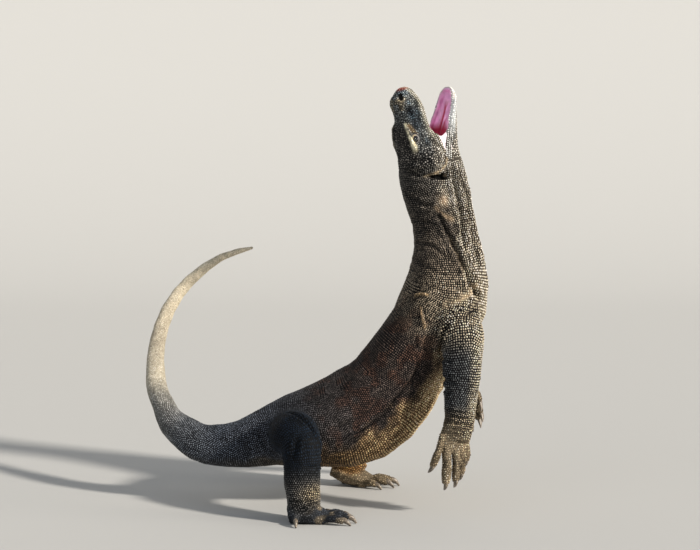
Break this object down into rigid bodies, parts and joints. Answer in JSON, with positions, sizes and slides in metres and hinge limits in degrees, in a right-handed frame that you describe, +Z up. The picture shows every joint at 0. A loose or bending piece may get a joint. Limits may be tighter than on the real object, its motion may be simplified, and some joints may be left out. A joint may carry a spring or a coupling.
{
  "type": "komodo dragon",
  "caption": "Life-size still model of a large monitor lizard rearing on its hind feet, head thrown back with the mouth open, forelegs hanging and the tail swept up.",
  "frame": {"origin": "on the floor under the middle of the whole animal", "axes": "+Z up, +X the way the body faces, +Y the animal's left"},
  "size_m": [0.8932, 0.5876, 1.0722],
  "materials": {
    "hide": "matte dark grey-brown scaled hide, tan dots, rusty flanks, pale belly and throat",
    "mouth_lining": "wet pink, paler at the corners",
    "eye": "wet dark brown",
    "claw": "satin dark horn"
  },
  "bodies": {
    "root": {"belly": "hide", "chest": "hide", "head": "hide", "left_eye": "eye", "left_foot": "hide", "left_foot_claw_1": "claw", "left_foot_claw_2": "claw", "left_foot_claw_3": "claw", "left_foot_claw_4": "claw", "left_foot_claw_5": "claw", "left_forearm": "hide", "left_hand": "hide", "left_hand_claw_1": "claw", "left_hand_claw_2": "claw", "left_hand_claw_3": "claw", "left_hand_claw_4": "claw", "left_hand_claw_5": "claw", "left_mouth_corner": "mouth_lining", "left_shank": "hide", "left_thigh": "hide", "left_upper_arm": "hide", "lower_jaw": "hide", "neck": "hide", "pelvis": "hide", "right_eye": "eye", "right_foot": "hide", "right_foot_claw_1": "claw", "right_foot_claw_2": "claw", "right_foot_claw_3": "claw", "right_foot_claw_4": "claw", "right_foot_claw_5": "claw", "right_forearm": "hide", "right_hand": "hide", "right_hand_claw_1": "claw", "right_hand_claw_2": "claw", "right_hand_claw_3": "claw", "right_hand_claw_4": "claw", "right_hand_claw_5": "claw", "right_mouth_corner": "mouth_lining", "right_shank": "hide", "right_thigh": "hide", "right_upper_arm": "hide", "tail_1": "hide", "tail_2": "hide", "tail_3": "hide", "tail_4": "hide", "tail_5": "hide", "tail_6": "hide"}
  },
  "joints": []
}
